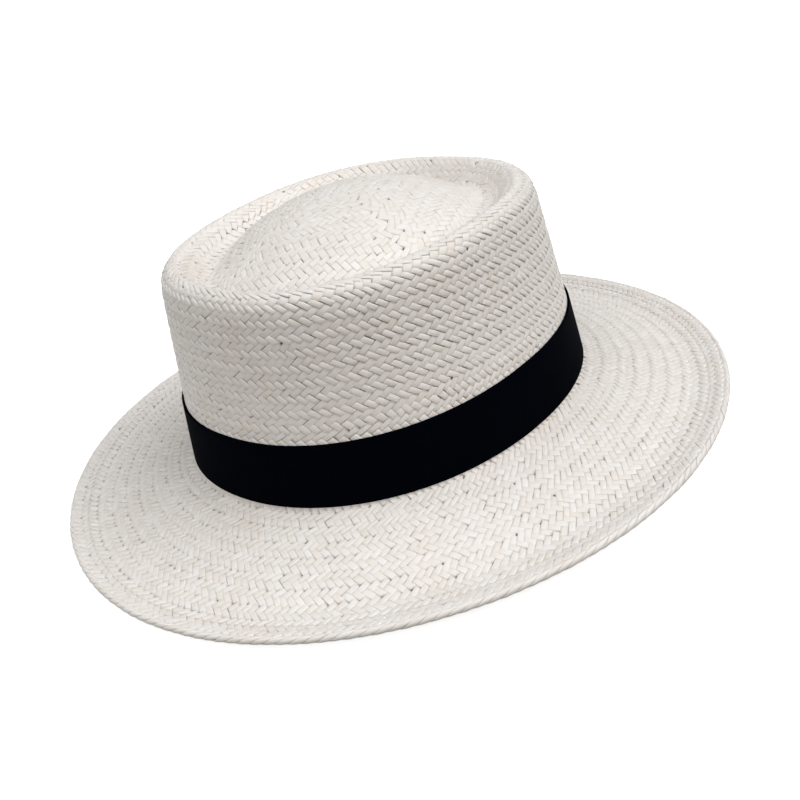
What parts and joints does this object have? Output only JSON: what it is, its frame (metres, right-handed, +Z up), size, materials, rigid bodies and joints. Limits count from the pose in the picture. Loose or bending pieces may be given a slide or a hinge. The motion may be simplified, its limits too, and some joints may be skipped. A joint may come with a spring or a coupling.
{
  "type": "straw gambler hat",
  "caption": "Wide-brimmed woven straw hat with an oval telescope crown, a turned-under hem and a dark grosgrain ribbon round the foot of the crown.",
  "frame": {"origin": "on the surface the hat rests on, under the middle of the brim", "axes": "+Z up through the crown, -Y towards the front of the hat, +X towards the wearer's left"},
  "size_m": [0.3176, 0.331, 0.1179],
  "materials": {
    "straw": "woven paper straw, matte",
    "ribbon": "ribbed grosgrain, matte"
  },
  "bodies": {
    "root": {"straw_body": "straw", "ribbon_band": "ribbon"}
  },
  "joints": []
}
